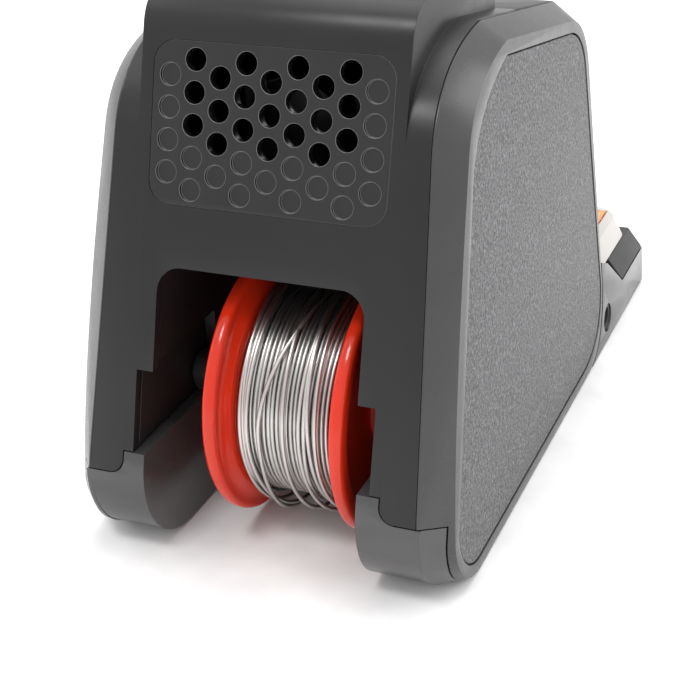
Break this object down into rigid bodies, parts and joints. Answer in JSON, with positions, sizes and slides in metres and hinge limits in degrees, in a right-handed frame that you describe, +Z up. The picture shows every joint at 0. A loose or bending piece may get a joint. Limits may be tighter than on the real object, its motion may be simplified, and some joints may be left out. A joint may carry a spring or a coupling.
{
  "type": "soldering iron station",
  "caption": "Soldering iron station with a bevelled charcoal casing, a rear bay holding a reel of solder, a vented iron holder, display, knob, and a nose tray with sponge.",
  "frame": {"origin": "centre of the bounding box on the surface that the rubber feet stand on", "axes": "+Z up, +Y towards the nose tray that faces the user, -Y towards the solder bay, X across; left is +X as the user faces the front"},
  "size_m": [0.0914, 0.1824, 0.1236],
  "materials": {
    "housing_plastic": "fine sparked charcoal moulded plastic",
    "cover_plastic": "satin charcoal moulded plastic",
    "insert_grain": "grey plastic with a fine leather-like grain",
    "base_plastic": "satin charcoal moulded plastic",
    "trim_plastic": "dead matte black plastic",
    "liner_plastic": "matte black moulded plastic",
    "tray_plastic": "satin warm light grey plastic",
    "sponge_cellulose": "open-cell orange cellulose sponge",
    "reel_plastic": "glossy translucent-edged red moulded plastic",
    "solder_wire": "bright drawn tin wire",
    "axle_plastic": "semi-gloss black acetal",
    "holder_steel": "brushed stainless steel",
    "collar_rubber": "matte black heat-proof silicone",
    "display_glass": "polished dark window",
    "knob_plastic": "soft-touch black plastic",
    "button_plastic": "satin grey plastic",
    "rocker_plastic": "glossy red plastic",
    "switch_plastic": "semi-gloss black plastic",
    "connector_metal": "nickel-plated brass",
    "contact_metal": "gold-flashed brass",
    "board_laminate": "green solder-masked circuit board",
    "component_plastic": "moulded components",
    "coil_core": "laminated core with yellow tape",
    "cup_metal": "black painted pressed steel",
    "brass_shavings": "curled brass shavings",
    "foot_rubber": "matte black rubber",
    "screw_steel": "zinc-plated steel"
  },
  "bodies": {
    "station": {"base_tray": "base_plastic", "rear_housing": "housing_plastic", "bay_liner": "liner_plastic", "vent_panel": "housing_plastic", "side_cover_left": "cover_plastic", "side_cover_right": "cover_plastic", "side_insert_left": "insert_grain", "side_insert_right": "insert_grain", "front_shell": "housing_plastic", "nose_trim": "trim_plastic", "holder_tube": "holder_steel", "holder_collar": "collar_rubber", "holder_cradle": "liner_plastic", "display_window": "display_glass", "display_module": "component_plastic", "control_board": "board_laminate", "encoder_body": "connector_metal", "handpiece_socket": "connector_metal", "socket_pins": "contact_metal", "power_inlet": "switch_plastic", "inlet_pin": "contact_metal", "power_switch": "switch_plastic", "power_board": "board_laminate", "transformer": "coil_core", "board_parts": "component_plastic", "rubber_feet": "foot_rubber", "housing_screws": "screw_steel"},
    "axle": {"spool_axle": "axle_plastic"},
    "reel": {"solder_spool": "reel_plastic", "solder_winding": "solder_wire"},
    "knob": {"control_knob": "knob_plastic", "encoder_shaft": "connector_metal"},
    "button_1": {"preset_button_1": "button_plastic"},
    "button_2": {"preset_button_2": "button_plastic"},
    "button_3": {"preset_button_3": "button_plastic"},
    "rocker": {"power_rocker": "rocker_plastic"},
    "tray": {"tool_tray": "tray_plastic", "sponge": "sponge_cellulose"},
    "cup": {"wool_cup": "cup_metal", "brass_wool": "brass_shavings"}
  },
  "joints": [
    {"name": "axle_slide", "type": "slide", "parent": "station", "child": "axle", "axis": [0, -1, 0], "range_m": [0, 0.075]},
    {"name": "reel_spin", "type": "hinge", "parent": "axle", "child": "reel", "pos_m": [0, -0.05702, 0.0325], "axis": [1, 0, 0], "continuous": true},
    {"name": "knob_turn", "type": "hinge", "parent": "station", "child": "knob", "pos_m": [-0.015, 0.04157, 0.03616], "axis": [0, 0.9877, 0.1564], "continuous": true},
    {"name": "button_1_press", "type": "slide", "parent": "station", "child": "button_1", "axis": [0, -0.9877, -0.1564], "range_m": [0, 0.001], "stiffness_N_per_m": 600, "springref_m": -0.0008},
    {"name": "button_2_press", "type": "slide", "parent": "station", "child": "button_2", "axis": [0, -0.9877, -0.1564], "range_m": [0, 0.001], "stiffness_N_per_m": 600, "springref_m": -0.0008},
    {"name": "button_3_press", "type": "slide", "parent": "station", "child": "button_3", "axis": [0, -0.9877, -0.1564], "range_m": [0, 0.001], "stiffness_N_per_m": 600, "springref_m": -0.0008},
    {"name": "rocker_tilt", "type": "hinge", "parent": "station", "child": "rocker", "pos_m": [-0.0427, 0.05318, 0.009], "axis": [0, 0, 1], "range_deg": [-14, 0]},
    {"name": "tray_lift", "type": "slide", "parent": "station", "child": "tray", "axis": [0, 0, 1], "range_m": [0, 0.03]},
    {"name": "cup_lift", "type": "slide", "parent": "tray", "child": "cup", "axis": [0, 0, 1], "range_m": [0, 0.03]}
  ]
}
